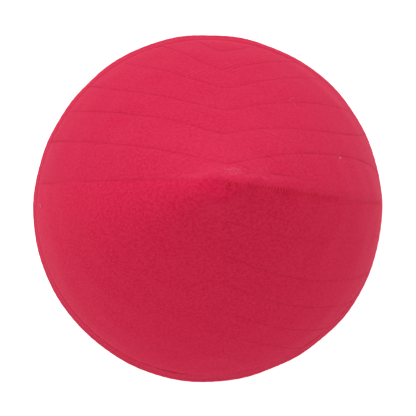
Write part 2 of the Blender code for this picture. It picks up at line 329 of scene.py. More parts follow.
def placeAt(x, y):
    # Azimuth and slant of the cloth over this point of the floor; its lean is found in rounds
    lean = 0.0
    for _ in range(6):
        azimuth = math.atan2(y - lean, x)
        reach = outerRadius(azimuth, slants)
        slant = float(np.interp(math.hypot(x, y - lean), reach, slants))
        lean = cap["tipLean"] * (float(heightAt(slant)) / cap["height"]) ** cap["leanPower"]
    return azimuth, slant


# Where the stitched rows run

def wander(side, place, row):
    places = rowWander[side][place]
    return smoothCurve(range(len(places)), places, row) * quilt["pitch"]


def middleReach(side, rounding):
    down = np.maximum(slants, 1e-6)
    angle = np.maximum(halfAngle(side, down) * radiusAt(down) - rounding, 0) / down
    return down, down * np.sin(angle)


def widestRow(side):
    down, reach = middleReach(side, quilt["corner"])
    rows = np.linspace(0, fullSlant / quilt["pitch"], cap["slantSamples"])
    away = rows * quilt["pitch"] + wander(side, "middle", rows)
    return float(np.interp(np.interp(panelSlant, down, reach), away, rows))


def rowTrack(side, hand, row, lastRow, steps):
    # Half a row, from the middle of the panel to its lower edge: slant, angle from the seam, distance along
    even = max(row * quilt["pitch"], cap["sewnGap"] / 2)
    keep = min(lastRow - row, 1.0)
    atMiddle = wander(side, "middle", row)
    atHalfWay = atMiddle + keep * (wander(side, hand + " half way", row) - atMiddle)
    atEdge = atMiddle + keep * (wander(side, hand + " edge", row) - atMiddle)
    rounding = quilt["corner"] * min(row, 1.0)
    down, reach = middleReach(side, rounding)
    first = min(float(np.interp(even + atMiddle, reach, down)), panelSlant)
    start = math.sqrt(max(first**2 - (even + atMiddle) ** 2, 0))
    end = max(math.sqrt(max(panelSlant**2 - (even + atEdge) ** 2, 0)), start)
    f = softened(np.linspace(0, 1, steps + 1), rounding / 2 / max(end - start, rounding, cap["sewnGap"]))
    along = start + (end - start) * f
    # A parabola through the middle, half way and the edge
    away = even + atMiddle * (1 - f) * (1 - 2 * f) + atHalfWay * 4 * f * (1 - f) + atEdge * f * (2 * f - 1)
    slant = np.minimum(np.hypot(along, away), panelSlant)
    slant[0], slant[-1] = first, panelSlant
    toMiddle = halfAngle(side, slant) * radiusAt(slant) - slant * np.arctan2(away, along)
    pastCorner = np.sqrt(np.maximum(toMiddle**2 - rounding**2, 0))
    pastCorner[0] = 0.0
    return slant, halfAngle(side, slant) - pastCorner / radiusAt(slant), along


def lengthsAlong(points):
    steps = np.linalg.norm(np.diff(points, axis=0), axis=1)
    return np.concatenate([[0.0], np.cumsum(steps)])


lastRows = {side: widestRow(side) for side in sideTurn}
stitchedRows = {side: math.floor(lastRows[side] - quilt["lastRoom"]) for side in sideTurn}
stitchLines = {}
for side in sideTurn:
    for row in range(stitchedRows[side] + 1):
        for hand in handTurn:
            slant, fromSeam, along = rowTrack(side, hand, row, lastRows[side], quilt["lineSteps"])
            azimuth = panelAzimuth(side, hand, slant, fromSeam)
            run = lengthsAlong(skin(azimuth, slant))
            line = {"slant": slant, "azimuth": azimuth, "along": along, "run": run}
            stitchLines[side, hand, row] = line
print("stitched rows laid out:", len(stitchLines))


# Relief of the quilted cloth

rng = np.random.default_rng(23)


def wavesOf(count, shortest, longest, size):
    # Sines in random directions that add up to a gentle unevenness of about this size
    directions = rng.normal(size=(count, 3))
    directions /= np.linalg.norm(directions, axis=1, keepdims=True)
    lengths = rng.uniform(shortest, longest, count)[:, None]
    return {
        "turns": directions * 2 * math.pi / lengths,
        "phases": rng.uniform(0, 2 * math.pi, count),
        "size": size * math.sqrt(2 / count),
    }


def unevenness(points, waves):
    return waves["size"] * np.sin(points @ waves["turns"].T + waves["phases"]).sum(axis=-1)


# Count, shortest and longest wave, size
softWaves = wavesOf(14, 0.016, 0.045, 0.00011)
tightness = wavesOf(10, 0.012, 0.040, 0.22)
puckerDrift = wavesOf(8, 0.010, 0.030, 1.1)
fuzzWaves = wavesOf(16, 0.0016, 0.0045, 0.5)


def rowTightness(side, row, azimuth, where):
    left, right = quilt["strength"][side]
    turned = -sideTurn[side] * (azimuth - quilt["middle"][side])
    share = 0.5 + 0.5 * np.tanh(turned / quilt["middleSpread"])
    even = (left + (right - left) * share) * quilt["rowStrength"][side][row]
    return even * np.clip(1 + unevenness(where, tightness), *quilt["tightRange"])


def awayFromTip(slant):
    return 1 - bump(slant, quilt["pitch"])


def clothRelief(side, hand, row, slant, azimuth, along):
    # Height of the outside above the smooth cap, and the shade painted where it lies deep in the stitching
    where = skin(azimuth, slant)
    nearest = min(round(row), stitchedRows[side])
    tight = rowTightness(side, nearest, azimuth, where)
    if nearest == 0 and hand == "right":
        tight = tight * np.interp(slant, lap["tightAt"], lap["tightness"])
    distance = abs(row - nearest) * quilt["pitch"]
    line = stitchLines[side, hand, nearest]
    run = np.interp(along, line["along"], line["run"])
    fromTip = awayFromTip(slant) * (1 - bump(panelSlant - slant, quilt["pressedEdge"]))
    relief = quilt["puff"] * tight * (1 - bump(distance, quilt["puffReach"])) * fromTip
    relief += unevenness(where, softWaves) * fromTip
    fold = np.sin(2 * math.pi * run / quilt["puckerPitch"] + unevenness(where, puckerDrift))
    relief += quilt["pucker"] * tight * fold * np.exp(-distance / quilt["puckerReach"]) * fromTip
    stitch = quilt["stitch"]
    if nearest == 0:
        relief -= lap["lip"][hand] * bump(distance, lap["lipReach"]) * fromTip
        if hand == "right":
            stitch = lap["overcastPitch"]
            pull = np.cos(2 * math.pi * run / stitch) * np.exp(-distance / lap["puckerReach"])
            relief -= lap["pucker"][side] * pull * fromTip
    if (side, hand) == ("back", "right"):
        over = np.clip((lap["width"] + lap["step"] - row * quilt["pitch"]) / lap["step"], 0, 1)
        flat = 1 - bump(panelSlant - slant, lap["pressedEdge"])
        relief += lap["rise"] * over * over * (3 - 2 * over) * fromTip * flat
    hole = bump(toNearest(run, stitch), quilt["holeReach"]) * bump(distance, quilt["holeReach"])
    groove = bump(distance, quilt["grooveReach"])
    relief -= tight * (quilt["groove"] * groove + quilt["hole"] * hole)
    # Painted shade along the stitching's groove, deeper at its needle holes
    paintedShade = tight * np.clip(quilt["grooveShade"] * groove + quilt["holeShade"] * hole, 0, 1)
    return relief, paintedShade


# Meshes

def addThing(name, data):
    thing = bpy.data.objects.new(name, data)
    bpy.context.scene.collection.objects.link(thing)
    return thing


def zipStrip(points, one, other):
    # Triangles between two lines of points, each point matched by how far along its line it lies
    def reached(line):
        lengths = lengthsAlong(points[line])
        return lengths[1:] / max(lengths[-1], 1e-12)

    here = reached(one)
    order = np.argsort(np.concatenate([here, reached(other)]), kind="stable")
    onOne = order < len(here)
    i, j = np.cumsum(onOne), np.cumsum(~onOne)
    forward = np.stack([one[np.maximum(i - 1, 0)], one[i], other[j]], axis=1)
    backward = np.stack([one[i], other[j], other[np.maximum(j - 1, 0)]], axis=1)
    return np.where(onOne[:, None], forward, backward)


def addMesh(name, points, faces, material, shades=None, smoothAngle=None):
    points, faces = np.asarray(points, float), np.asarray(faces, int)
    corners = points[faces[:, :3]]
    volume = np.einsum("ij,ij->i", corners[:, 0], np.cross(corners[:, 1], corners[:, 2])).sum()
    if volume < 0:
        faces = faces[:, ::-1]
    mesh = bpy.data.meshes.new(name)
    mesh.from_pydata(points.tolist(), [], faces.tolist())
    for shade, values in (shades or {}).items():
        layer = mesh.attributes.new(shade, "FLOAT", "POINT")
        layer.data.foreach_set("value", np.asarray(values, np.float32))
    mesh.materials.append(material)
    mesh.shade_smooth()
    if smoothAngle:
        mesh.set_sharp_from_angle(angle=smoothAngle)
    piece = addThing(name, mesh)
    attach(piece, "root")
    print(name, len(points), "points", len(faces), "faces")
    return piece


# Materials

def fill(tree, node, sockets):
    # Each socket takes a link or a fixed value
    for key, value in sockets.items():
        if isinstance(value, bpy.types.NodeSocket):
            tree.links.new(value, node.inputs[key])
        else:
            node.inputs[key].default_value = value


def addNode(tree, kind, sockets=None, **settings):
    node = tree.nodes.new("ShaderNode" + kind)
    for key, value in settings.items():
        setattr(node, key, value)
    fill(tree, node, sockets or {})
    return node


def mixColour(tree, share, one, other, blend="MIX"):
    node = addNode(tree, "Mix", data_type="RGBA", blend_type=blend)
    fill(tree, node, {0: share, 6: one, 7: other})
    return node.outputs[2]


def multiply(tree, one, other):
    return addNode(tree, "Math", {0: one, 1: other}, operation="MULTIPLY").outputs[0]


def noise(tree, place, sockets):
    return addNode(tree, "TexNoise", {"Vector": place, **sockets}).outputs[0]


def stretched(tree, value, low, high):
    # Spreads the values from low to high over 0 to 1
    return addNode(tree, "MapRange", {"Value": value, "From Min": low, "From Max": high}).outputs[0]


def shadeOf(tree, name):
    return addNode(tree, "Attribute", attribute_name=name).outputs["Fac"]


def raised(tree, height, strength, distance, under=None):
    sockets = {"Height": height, "Strength": strength, "Distance": distance}
    if under is not None:
        sockets["Normal"] = under
    return addNode(tree, "Bump", sockets).outputs[0]


def startMaterial(name):
    material = bpy.data.materials.new(name)
    material.use_nodes = True
    tree = material.node_tree
    place = addNode(tree, "TexCoord").outputs["Object"]
    return material, tree, tree.nodes["Principled BSDF"], place


feltLook = {
    "drawn": (0.95, 1.1, 0.5),  # the felt's fibres are drawn out a little
    "grain": {"Scale": 900, "Detail": 2, "Roughness": 0.8},
    "grainRange": (0.36, 0.64),
    "grainShares": (0.14, 1.0, 0.50),  # how far the grain swings red, green and blue
    "grainRise": 0.00012,
    "fibres": {"Scale": 2600, "Detail": 2, "Roughness": 0.7},
    "fibreRise": 0.0001,
    "mottle": {"Scale": 70, "Detail": 2},
    "mottleRange": (0.3, 0.7),
    "mottleTint": (1, 0.96, 0.97, 1),
    "ripples": {"Scale": 165, "Distortion": 3.5, "Detail": 1},
    "rippleTurn": (0, 0, math.radians(58)),
    "rippleRise": 0.00026,
    # Colour of the painted shade in grooves, needle holes, seams and the hem's fold
    "paintedShade": (0.30, 0.0060, 0.026, 1),
    # Pale pink of the fuzz and of the painted sheen
    "pale": (0.70, 0.0600, 0.130, 1),
    "sheen": (1.0, 0.70, 0.95, 1),
    "nap": 0.05,
}


def feltMaterial(name, base, swing):
    # The swing is how far the grain goes deeper and lighter than the base colour
    material, tree, shader, place = startMaterial(name)
    drawn = addNode(tree, "Mapping", {"Vector": place, "Scale": feltLook["drawn"]}).outputs[0]
    grain = noise(tree, drawn, feltLook["grain"])
    mottle = noise(tree, place, feltLook["mottle"])
    fibres = noise(tree, drawn, feltLook["fibres"])
    deep = [part * (1 - swing * share) for part, share in zip(base, feltLook["grainShares"])]
    light = [part * (1 + swing * share) for part, share in zip(base, feltLook["grainShares"])]
    colour = mixColour(tree, stretched(tree, grain, *feltLook["grainRange"]), (*deep, 1), (*light, 1))
    mottleShare = stretched(tree, mottle, *feltLook["mottleRange"])
    colour = mixColour(tree, mottleShare, colour, feltLook["mottleTint"], "MULTIPLY")
    # Painted shade where the cloth lies deep or turns under
    colour = mixColour(tree, shadeOf(tree, "paintedShade"), colour, feltLook["paintedShade"])
    # Pale fuzz and painted sheen, broken up by the fibres
    fuzzAndSheenShare = multiply(tree, shadeOf(tree, "pale"), fibres)
    colour = mixColour(tree, fuzzAndSheenShare, colour, feltLook["pale"])
    soft = raised(tree, grain, 0.5, feltLook["grainRise"])
    fine = raised(tree, fibres, 0.4, feltLook["fibreRise"], soft)
    # Small ripples where the cloth is gathered
    turned = addNode(tree, "Mapping", {"Vector": place, "Rotation": feltLook["rippleTurn"]}).outputs[0]
    waves = addNode(tree, "TexWave", {"Vector": turned, **feltLook["ripples"]}).outputs[1]
    gathered = multiply(tree, waves, shadeOf(tree, "rippled"))
    fill(tree, shader, {
        "Base Color": colour,
        "Normal": raised(tree, gathered, 1.0, feltLook["rippleRise"], fine),
        "Roughness": 0.88,
        "Specular IOR Level": 0.05,
        "Sheen Weight": feltLook["nap"],
        "Sheen Roughness": 0.3,
        "Sheen Tint": feltLook["sheen"],
    })
    return material


def threadMaterial(name, colour, other, shine=0.04):
    material, tree, shader, place = startMaterial(name)
    twist = noise(tree, place, {"Scale": 3200, "Detail": 2})
    mottle = noise(tree, place, {"Scale": 130, "Detail": 1})
    fill(tree, shader, {
        "Base Color": mixColour(tree, stretched(tree, mottle, 0.35, 0.65), colour, other),
        "Normal": raised(tree, twist, 0.5, 0.00008),
        "Roughness": 0.85,
        "Specular IOR Level": shine,
    })
    return material


# The halves' felts are lit and shaded copies of one felt: the front half, in shade, is a little lighter and
# its grain swings wider
litBackFelt = feltMaterial("lit back felt", (0.552, 0.0136, 0.0606), swing=0.37)
shadedFrontFelt = feltMaterial("shaded front felt", (0.574, 0.0125, 0.0597), swing=0.43)
hemFelt = feltMaterial("hem felt", (0.558, 0.0128, 0.0595), swing=0.34)
quiltingThread = threadMaterial("quilting thread", (0.58, 0.016, 0.060, 1), (0.52, 0.012, 0.050, 1))
overcastThread = threadMaterial("overcast thread", (0.68, 0.034, 0.056, 1), (0.60, 0.020, 0.052, 1))
tipThread = threadMaterial("tip thread", (0.72, 0.040, 0.045, 1), (0.64, 0.024, 0.050, 1))
lintFibre = threadMaterial("lint fibre", (0.78, 0.24, 0.30, 1), (0.72, 0.13, 0.19, 1), shine=0.1)
print("felt, thread and lint materials made")


# The two quilted halves

panel = {
    # Stations across a row as shares of its pitch, close together beside the stitching
    "stations": (0, 0.011, 0.026, 0.045, 0.07, 0.105, 0.15, 0.21, 0.29, 0.38, 0.46, 0.54, 0.62, 0.71, 0.79,
                 0.85, 0.895, 0.93, 0.955, 0.974, 0.989),
    "lapStations": (0.19, 0.2273, 0.247, 0.267, 0.287, 0.3068),
    "innerStations": (0, 0.06, 0.2, 0.5, 0.8, 0.94),
    "lastRoom": 0.02,  # share of a row left free before the lower edge
    "trialSteps": 40,
    "fineStep": 0.00052,
    "coarseStep": 0.0010,
    "fineReach": 0.0015,
    "innerStep": 0.0028,
    "innerGroove": 0.0003,
    "smoothAngle": math.radians(50),
}

# Pale patches round the tip, partly pale fuzz and partly painted sheen
tuftPlace = {"azimuth": math.radians(50.2), "slant": 0.0098}
fuzzAndSheenPatches = [
    {"at": skin(tuftPlace["azimuth"], tuftPlace["slant"]), "reach": 0.0022, "strength": 0.75},
    {"at": skin(math.radians(245), 0.0045), "reach": 0.0040, "strength": 0.20},
    {"at": skin(math.radians(75), 0.0095), "reach": 0.0030, "strength": 0.25},
    {"at": skin(math.radians(25), 0.0190), "reach": 0.0040, "strength": 0.18},
]

# A pale band just behind the ridge, partly pale fuzz and partly painted sheen
ridgeFuzzAndSheen = {
    "behind": 0.0028,
    "reach": 0.0012,
    "strength": 0.32,
    "left": -0.020,
    "leftFade": 0.008,
    "right": 0.030,
    "rightFade": 0.010,
    "lowest": 0.06,  # as a slant
}

# Needle holes near the tip, painted only as dark spots of shade, in millimetres from the tip over the floor
tipHoles = {
    "places": ((0.4, -0.8), (1.3, -0.5), (1.5, -1.4), (1.0, -0.9), (9.0, -1.3)),
    "reach": 0.00042,
    "shade": 0.9,
}
tipHoles["at"] = [skin(*placeAt(*besideTip(x, y))) for x, y in tipHoles["places"]]

# Small ripples beside the corner of the back's fifth row
fifthRow = stitchLines["back", "left", 5]
cornerAzimuth, cornerSlant = fifthRow["azimuth"][0], fifthRow["slant"][0]
ripples = [
    {"at": skin(cornerAzimuth - 0.09, cornerSlant + 0.0035), "reach": 0.0075, "strength": 0.8},
    {"at": skin(cornerAzimuth + 0.20, cornerSlant - 0.0060), "reach": 0.0055, "strength": 1.0},
]


def patchwork(points, patches):
    total = np.zeros(len(points))
    for patch in patches:
        away = np.linalg.norm(points - patch["at"], axis=1)
        total += patch["strength"] * bump(away, patch["reach"])
    return total


# Pale fuzz and painted sheen round the tip and behind the ridge
def fuzzAndSheenAt(side, points, slant):
    total = patchwork(points, fuzzAndSheenPatches)
    if side == "back":
        sideways = points[:, 0]
        band = bump(points[:, 1] - cap["tipLean"] - ridgeFuzzAndSheen["behind"], ridgeFuzzAndSheen["reach"])
        fromLeft = np.clip((sideways - ridgeFuzzAndSheen["left"]) / ridgeFuzzAndSheen["leftFade"], 0, 1)
        fromRight = np.clip((ridgeFuzzAndSheen["right"] - sideways) / ridgeFuzzAndSheen["rightFade"], 0, 1)
        band = band * fromLeft * fromRight * (slant < ridgeFuzzAndSheen["lowest"])
        total += ridgeFuzzAndSheen["strength"] * band
    return np.clip(total * (1 + unevenness(points, fuzzWaves)), 0, 1)


def halfPanel(name, side, material):
    lastRow = lastRows[side]
    points, paintedShades, pales = [], [], []

    def addRow(row, steps, inside):
        halves = []
        for hand in handTurn:
            slant, fromSeam, along = rowTrack(side, hand, row, lastRow, steps[hand])
            azimuth = panelAzimuth(side, hand, slant, fromSeam)
            if inside:
                behind = innerTip + slant * (panelSlant - innerTip) / panelSlant
                toLine = abs(row - round(row)) * quilt["pitch"]
                thin = panel["innerGroove"] * float(bump(toLine, quilt["puffReach"]))
                radius = innerRadius(azimuth, behind, cap["panelWall"] - thin)
                plain = np.zeros(len(slant))
                halves.append((around(radius, azimuth, heightAt(behind)), plain, plain))
                continue
            relief, paintedShade = clothRelief(side, hand, row, slant, azimuth, along)
            smooth = skin(azimuth, slant)
            # Painted shade at the needle holes near the tip
            for hole in tipHoles["at"]:
                away = np.linalg.norm(smooth - hole, axis=1)
                paintedShade = np.clip(paintedShade + tipHoles["shade"] * bump(away, tipHoles["reach"]), 0, 1)
            halves.append((skin(azimuth, slant, relief), paintedShade, fuzzAndSheenAt(side, smooth, slant)))
        start = sum(len(part) for part in points)
        for store, left, right in zip((points, paintedShades, pales), *halves):
            store.append(np.concatenate([left[::-1], right[1:]]))
        middle = start + len(halves[0][0]) - 1
        end = start + len(points[-1])
        return {"left": np.arange(start, middle + 1), "right": np.arange(middle, end)}

    def addRows(stations, extra, stepOf, inside):
        rows = {number + share for number in range(math.ceil(lastRow)) for share in stations} | set(extra)
        rows = sorted(row for row in rows if row < lastRow - panel["lastRoom"])
        placed = []
        for row in rows:
            steps = {}
            for hand in handTurn:
                slant, fromSeam, along = rowTrack(side, hand, row, lastRow, panel["trialSteps"])
                reach = lengthsAlong(skin(panelAzimuth(side, hand, slant, fromSeam), slant))[-1]
                steps[hand] = max(math.ceil(reach / stepOf(row)), 1)
            placed.append(addRow(row, steps, inside))
        middleAzimuth = panelAzimuth(side, "left", panelSlant, halfAngle(side, panelSlant))
        if inside:
            radius = innerRadius(middleAzimuth, panelSlant, cap["panelWall"])
            last = around(radius, middleAzimuth, heightAt(panelSlant))
        else:
            last = skin(middleAzimuth, panelSlant)
        index = np.array([sum(len(part) for part in points)])
        points.append(last[None, :])
        paintedShades.append(np.zeros(1))
        pales.append(np.zeros(1))
        placed.append({"left": index, "right": index})
        return placed

    def outerStep(row):
        toLine = abs(row - round(row)) * quilt["pitch"]
        return panel["fineStep"] if toLine < panel["fineReach"] else panel["coarseStep"]

    lapRows = panel["lapStations"] if side == "back" else ()
    outer = addRows(panel["stations"], lapRows, outerStep, False)
    inner = addRows(panel["innerStations"], (), lambda row: panel["innerStep"], True)
    allPoints = np.concatenate(points)
    faces = []
    for one, other in zip(outer, outer[1:]):
        faces += [zipStrip(allPoints, one[half], other[half]) for half in handTurn]
    for one, other in zip(inner, inner[1:]):
        faces += [zipStrip(allPoints, other[half], one[half]) for half in handTurn]
    seams = [np.concatenate([rows[0]["left"], rows[0]["right"][1:]]) for rows in (inner, outer)]
    faces.append(zipStrip(allPoints, *seams))
    edges = []
    for rows in (outer, inner):
        leftEnds = [row["left"][0] for row in rows]
        rightEnds = [row["right"][-1] for row in rows[:-1]]
        edges.append(np.array(leftEnds + rightEnds[::-1]))
    faces.append(zipStrip(allPoints, *edges))
    rippled = np.clip(patchwork(allPoints, ripples), 0, 1)
    shades = {"paintedShade": np.concatenate(paintedShades), "pale": np.concatenate(pales), "rippled": rippled}
    return addMesh(name, allPoints, np.concatenate(faces), material, shades, panel["smoothAngle"])


backHalf = halfPanel("back_half", "back", litBackFelt)
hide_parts("back_panel")
frontHalf = halfPanel("front_half", "front", shadedFrontFelt)
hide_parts("front_panel")


# The turned hem

hem = {
    "steps": 1200,
    # Rings of the outside, as shares of its height above the fold
    "stations": (1.0, 0.985, 0.965, 0.94, 0.90, 0.84, 0.76, 0.66, 0.56, 0.50, 0.46, 0.42, 0.36, 0.28, 0.20,
                 0.12, 0.05),
    "foldSteps": 7,
    "foldStart": 0.12,
    "foldShade": 0.30,
    "underShade": 0.35,
    "line": 0.0075,  # height of the second row of stitching
    "lineReach": 0.0009,
    "lineDepth": 0.00018,  # and twice that at the needle holes
    "lineShade": 0.10,
    "stitch": 0.0026,
    "holeReach": 0.0006,
    "holeShade": 0.15,
    "pucker": 0.000035,
    "topPucker": 0.000065,
    "puckerPitch": 0.0052,
    "puckerDrift": 1.4,
    "puckerReach": 0.004,
    "topDip": 0.00012,
    "topReach": 0.0006,
    "topShade": 0.15,
    "topShadeReach": 0.0005,
    "seamDip": 0.00015,
    "seamReach": 0.0006,
    "seamShade": 0.3,
    "seamShadeReach": 0.0004,
    "edgeShade": 0.32,  # painted shade along the foot, where the fold meets the floor
    "edgeReach": 0.0026,
    # The inside from the foot up: in the fold, up the wall, and at the turned-in edge below the top
    "innerFold": ((0.6, 0.0), (0.2, 0.25), (0.0, 0.7)),
    "innerWall": (0.33, 0.66),
    "innerBow": 0.0002,
    "innerEdge": ((0.0, 0.0006), (0.0005, 0.0001), (0.0016, 0.0)),
    "innerShade": 0.15,
    "smoothAngle": math.radians(60),
}


def hemRelief(azimuth, height):
    # The doubled cloth bulges between its two rows of stitching
    where = skin(azimuth, slantAt(height))
    run = azimuth * cap["rimRadius"]
    fromTop = height - cap["hemHeight"]
    drift = unevenness(where, puckerDrift) * hem["puckerDrift"]
    fold = np.sin(2 * math.pi * run / hem["puckerPitch"] + drift)
    relief = fold * (hem["pucker"] + hem["topPucker"] * bump(fromTop, hem["puckerReach"]))
    hole = bump(toNearest(run, hem["stitch"]), hem["holeReach"])
    line = bump(height - hem["line"], hem["lineReach"])
    relief -= hem["lineDepth"] * line * (1 + hole)
    # Painted shade in the lower stitching and its holes, along the tuck at the top, along the foot and at
    # the seams
    paintedShade = line * (hem["lineShade"] + hem["holeShade"] * hole)
    firm = tuckFirmness(azimuth)
    relief -= hem["topDip"] * firm * bump(fromTop, hem["topReach"])
    paintedShade += hem["topShade"] * firm * bump(fromTop, hem["topShadeReach"])
    paintedShade += hem["edgeShade"] * bump(height, hem["edgeReach"])
    for hand in handTurn:
        beside = angleBetween(azimuth, seamAzimuth(hand, slantAt(height))) * cap["rimRadius"]
        relief -= hem["seamDip"] * bump(beside, hem["seamReach"])
        paintedShade += hem["seamShade"] * bump(beside, hem["seamShadeReach"])
    return relief + unevenness(where, softWaves), np.clip(paintedShade, 0, 1)


def hemRing():
    azimuth = np.linspace(0, 2 * math.pi, hem["steps"], endpoint=False)
    level = np.zeros_like(azimuth)  # spreads one value all round
    columns, paintedShades = [], []
    fold = cap["hemFold"]
    for station in hem["stations"]:
        height = fold + station * (cap["hemHeight"] - fold)
        relief, paintedShade = hemRelief(azimuth, height)
        columns.append(skin(azimuth, slantAt(height) + level, relief))
        paintedShades.append(paintedShade)
    foot = outerRadius(azimuth, slantAt(fold) + level, hemRelief(azimuth, fold)[0])
    for turn in np.linspace(hem["foldStart"], math.pi / 2, hem["foldSteps"]):
        height = fold * (1 - math.sin(turn)) + level
        columns.append(around(foot - fold * (1 - math.cos(turn)), azimuth, height))
        # Painted shade, deeper as the fold turns under towards the floor
        paintedShades.append(level + hem["foldShade"] + hem["underShade"] * turn)
    innerFoot = innerRadius(azimuth, fullSlant + level, cap["hemWall"])
    innerTop = innerRadius(azimuth, slantAt(cap["hemHeight"]) + level, cap["hemWall"])
    ring = [(innerFoot + fold * out, fold * up) for out, up in hem["innerFold"]]
    for share in hem["innerWall"]:
        radius = innerFoot + (innerTop - innerFoot) * share - hem["innerBow"]
        ring.append((radius, cap["hemHeight"] * share))
    ring += [(innerTop + out, cap["hemHeight"] - below) for out, below in hem["innerEdge"]]
    for radius, height in ring:
        columns.append(around(radius, azimuth, height + level))
        # Painted shade on the inside of the hem
        paintedShades.append(level + hem["innerShade"])
    count = len(columns)
    points = np.stack(columns, axis=1).reshape(-1, 3)
    shade = np.stack(paintedShades, axis=1).reshape(-1)
    i, j = np.meshgrid(np.arange(hem["steps"]), np.arange(count), indexing="ij")
    nextI, nextJ = (i + 1) % hem["steps"], (j + 1) % count
    faces = np.stack([i * count + j, nextI * count + j, nextI * count + nextJ, i * count + nextJ], axis=-1)
    shades = {"paintedShade": shade, "pale": np.zeros(len(points))}
    return addMesh("hem_ring", points, faces.reshape(-1, 4), hemFelt, shades, hem["smoothAngle"])


hemPiece = hemRing()
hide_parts("hem_band")


# Threads

# Where the rows are slack the stitches lie hidden in the nap of the felt
threads = {
    "radius": 0.00009,
    "steps": 6,
    "thinEnds": 0.75,
    "rise": 0.00002,
    "sink": 0.00028,
    "dive": 0.0005,  # the ends of seam and hem stitches go in deeper
    "nap": 0.00018,
    "napFade": 0.15,
}
alongStitch = np.linspace(0, 1, threads["steps"])


def threadMesh(name, paths, normals, radius, material, sides=5):
    # One small tube for each stitch; paths and normals are stitches x steps x 3
    paths, normals = np.asarray(paths), np.asarray(normals)
    count, steps = paths.shape[:2]
    tangents = np.gradient(paths, axis=1)
    tangents /= np.linalg.norm(tangents, axis=-1, keepdims=True)
    sideways = np.cross(tangents, normals)
    sideways /= np.linalg.norm(sideways, axis=-1, keepdims=True)
    upwards = np.cross(sideways, tangents)
    swell = threads["thinEnds"] + (1 - threads["thinEnds"]) * np.sin(math.pi * np.linspace(0, 1, steps))
    rings = []
    for k in range(sides):
        turn = 2 * math.pi * k / sides
        offset = math.cos(turn) * sideways + math.sin(turn) * upwards
        rings.append(paths + offset * (np.asarray(radius) * swell)[..., None])
    points = np.stack(rings, axis=2).reshape(-1, 3)
    one = []
    for s in range(steps - 1):
        for k in range(sides):
            a, b = s * sides + k, s * sides + (k + 1) % sides
            one += [(a, b, b + sides), (a, b + sides, a + sides)]
    top = (steps - 1) * sides
    for k in range(1, sides - 1):
        one += [(0, k + 1, k), (top, top + k, top + k + 1)]
    one = np.array(one)
    faces = (one[None] + (np.arange(count) * steps * sides)[:, None, None]).reshape(-1, 3)
    return addMesh(name, points, faces, material)


def dipping(depth, share):
    # A stitch lies level in its middle and goes down at both ends
    return threads["rise"] - depth * (1 - np.sin(math.pi * share)) ** 2


def rowStitches(side):
    paths, normals = [], []
    lift = dipping(threads["rise"] + threads["sink"], alongStitch)
    for (lineSide, hand, row), line in stitchLines.items():
        if lineSide != side or row == 0:
            continue
        stitch = quilt["stitch"]
        first = np.arange(0, math.floor(line["run"][-1] / stitch)) * stitch
        run = first[:, None] + alongStitch * stitch
        slant = np.interp(run, line["run"], line["slant"])
        azimuth = np.interp(run, line["run"], line["azimuth"])
        where = skin(azimuth, slant)
        tight = rowTightness(side, row, azimuth, where)
        relief = lift - quilt["groove"] * tight - threads["nap"] * np.exp(-tight / threads["napFade"])
        relief += unevenness(where, softWaves)
        paths.append(skin(azimuth, slant, relief))
        normals.append(skinNormal(azimuth, slant))
    return np.concatenate(paths), np.concatenate(normals)


quiltingPieces = (("back", "back_quilting", "back_felt"), ("front", "front_quilting", "front_felt"))
for side, name, slotName in quiltingPieces:
    paths, normals = rowStitches(side)
    quilting = threadMesh(name, paths, normals, threads["radius"], quiltingThread)


def crossing(hand, starts, ends, share, lift):
    # Paths over a seam from one place beside it to another; places are (along, away) in metres
    places = starts[:, None] + (ends - starts)[:, None] * share[:, None]
    azimuth, slant = besideSeam(hand, places[..., 0], places[..., 1])
    return skin(azimuth, slant, lift), skinNormal(azimuth, slant)


overcastLook = {
    "first": 0.003,  # from the tip
    "beforeHem": 0.014,  # it stops this far above the hem
    "unevenPitch": 0.00012,
    "reach": 0.0015,
    "unevenReach": 0.08,
    "lean": 0.00035,
    "unevenLean": 0.00012,
    "steps": 9,
    "radius": 0.00012,
    "rise": 0.00005,
    "dive": 0.00035,
    "onLap": 0.8,  # share of the lap's height that it climbs
    "hidden": (0.062, 0.080),  # between these slants it sinks into the nap
    "sink": 0.00024,
}


def overcasting():
    look = overcastLook
    line = stitchLines["back", "right", 0]
    count = int((line["run"][-1] - look["beforeHem"]) / lap["overcastPitch"])
    run = look["first"] + np.arange(count) * lap["overcastPitch"] + rng.normal(0, look["unevenPitch"], count)
    along = np.interp(run, line["run"], line["along"])
    reach = look["reach"] * (1 + rng.normal(0, look["unevenReach"], (count, 2)))
    lean = rng.normal(look["lean"], look["unevenLean"], count)
    starts = np.stack([along - lean, reach[:, 0]], axis=1)
    ends = np.stack([along + lean, -reach[:, 1]], axis=1)
    share = np.linspace(0, 1, look["steps"])
    down = along[:, None]
    flat = 1 - bump(panelSlant - down, lap["pressedEdge"])
    onLap = (share < 0.5) * lap["rise"] * awayFromTip(down) * flat * look["onLap"]
    lift = look["rise"] - look["dive"] * (1 - np.sin(math.pi * share)) ** 3 + onLap
    lift = lift - np.interp(down, look["hidden"], (0, look["sink"]))
    paths, normals = crossing("right", starts, ends, share, lift)
    return threadMesh("right_seam_overcasting", paths, normals, look["radius"], overcastThread, sides=6)


overcast = overcasting()

# Running stitches along both seams; away is counted towards the back
seamStitches = {
    "left_seam_stitching": {"hand": "left", "away": 0.0, "length": 0.0019, "lift": -0.00012},
    "lap_edge_stitching": {"hand": "right", "away": 0.0047, "length": 0.0016, "lift": 0.0},
    "first": 0.003,
    "lastRoom": 0.004,
}


